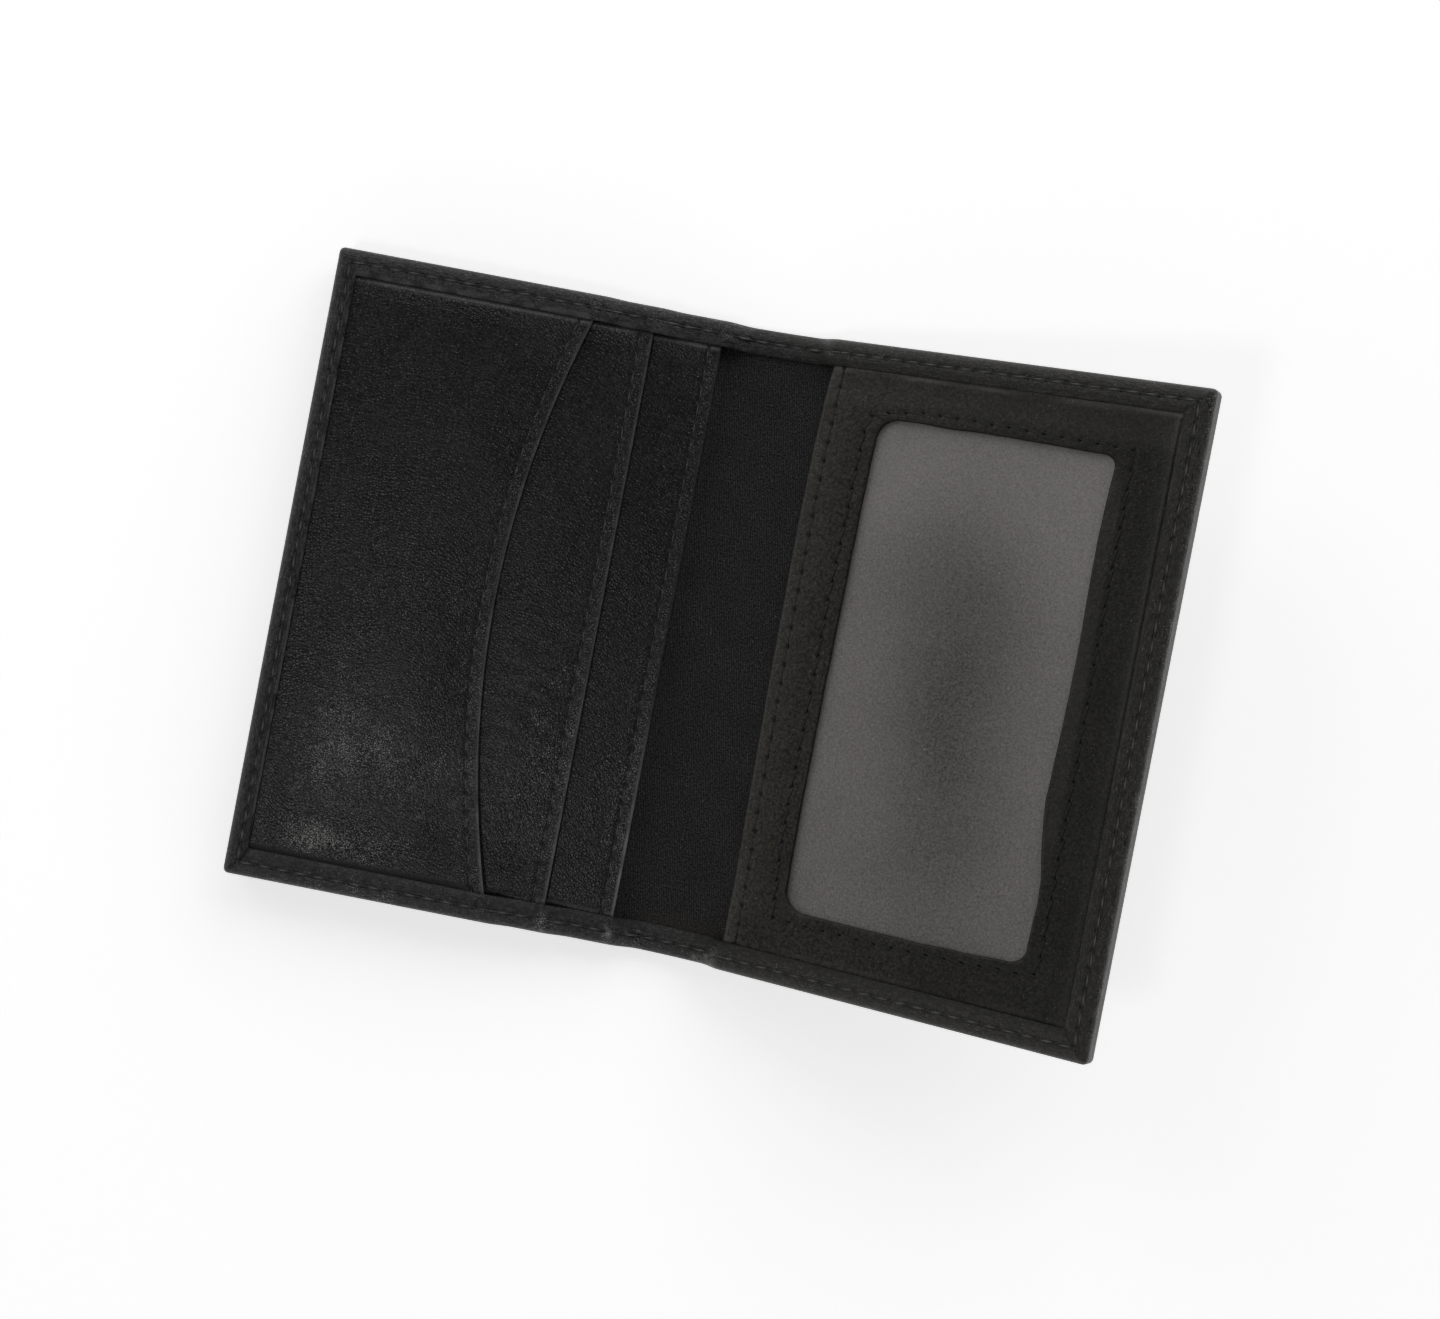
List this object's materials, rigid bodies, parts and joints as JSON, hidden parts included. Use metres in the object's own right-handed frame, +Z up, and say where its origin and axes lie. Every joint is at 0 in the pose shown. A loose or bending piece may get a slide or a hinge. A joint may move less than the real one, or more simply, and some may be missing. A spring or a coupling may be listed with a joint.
{
  "type": "bifold card holder",
  "caption": "Slim bifold card holder in black leather that folds along its spine, with layered card pockets on one panel and a windowed pocket on the other.",
  "frame": {"origin": "centre of the left panel's underside, the face that the open holder lies on", "axes": "+X across the fold towards the right panel, +Y along the spine, +Z up, away from the surface it lies on"},
  "size_m": [0.1388, 0.102, 0.0333],
  "materials": {
    "cover_leather": "satin",
    "pocket_leather": "satin",
    "twill": "matte",
    "bonded_board": "matte",
    "window_film": "satin",
    "thread": "matte"
  },
  "bodies": {
    "left_panel": {"left_cover": "cover_leather", "left_stiffener": "bonded_board", "left_lining": "twill", "front_pocket": "pocket_leather", "middle_pocket_strip": "pocket_leather", "middle_pocket_tongue": "twill", "rear_pocket_strip": "pocket_leather", "rear_pocket_tongue": "twill", "front_lip_stitches": "thread", "middle_lip_stitches": "thread", "rear_lip_stitches": "thread", "left_edge_stitches": "thread"},
    "spine_strip_1": {"spine_cover_1": "cover_leather", "spine_lining_1": "twill", "spine_stitch_top_1": "thread", "spine_stitch_bottom_1": "thread"},
    "spine_strip_2": {"spine_cover_2": "cover_leather", "spine_lining_2": "twill", "spine_stitch_top_2": "thread", "spine_stitch_bottom_2": "thread"},
    "spine_strip_3": {"spine_cover_3": "cover_leather", "spine_lining_3": "twill", "spine_stitch_top_3": "thread", "spine_stitch_bottom_3": "thread"},
    "right_panel": {"right_cover": "cover_leather", "right_lining": "twill", "id_window_film": "window_film", "id_pocket_frame": "pocket_leather", "id_lip_stitches": "thread", "id_window_stitches": "thread", "right_edge_stitches": "thread"}
  },
  "joints": [
    {"name": "fold_1", "type": "hinge", "parent": "left_panel", "child": "spine_strip_1", "pos_m": [0.03272, 0, 0.0004], "axis": [0, -1, 0], "range_deg": [-6, 39]},
    {"name": "fold_2", "type": "hinge", "parent": "spine_strip_1", "child": "spine_strip_2", "pos_m": [0.03733, 0, 0.00088], "axis": [0, -1, 0], "range_deg": [-6, 39]},
    {"name": "fold_3", "type": "hinge", "parent": "spine_strip_2", "child": "spine_strip_3", "pos_m": [0.04187, 0, 0.00185], "axis": [0, -1, 0], "range_deg": [-6, 39]},
    {"name": "fold_4", "type": "hinge", "parent": "spine_strip_3", "child": "right_panel", "pos_m": [0.04628, 0, 0.00328], "axis": [0, -1, 0], "range_deg": [-6, 39]}
  ]
}
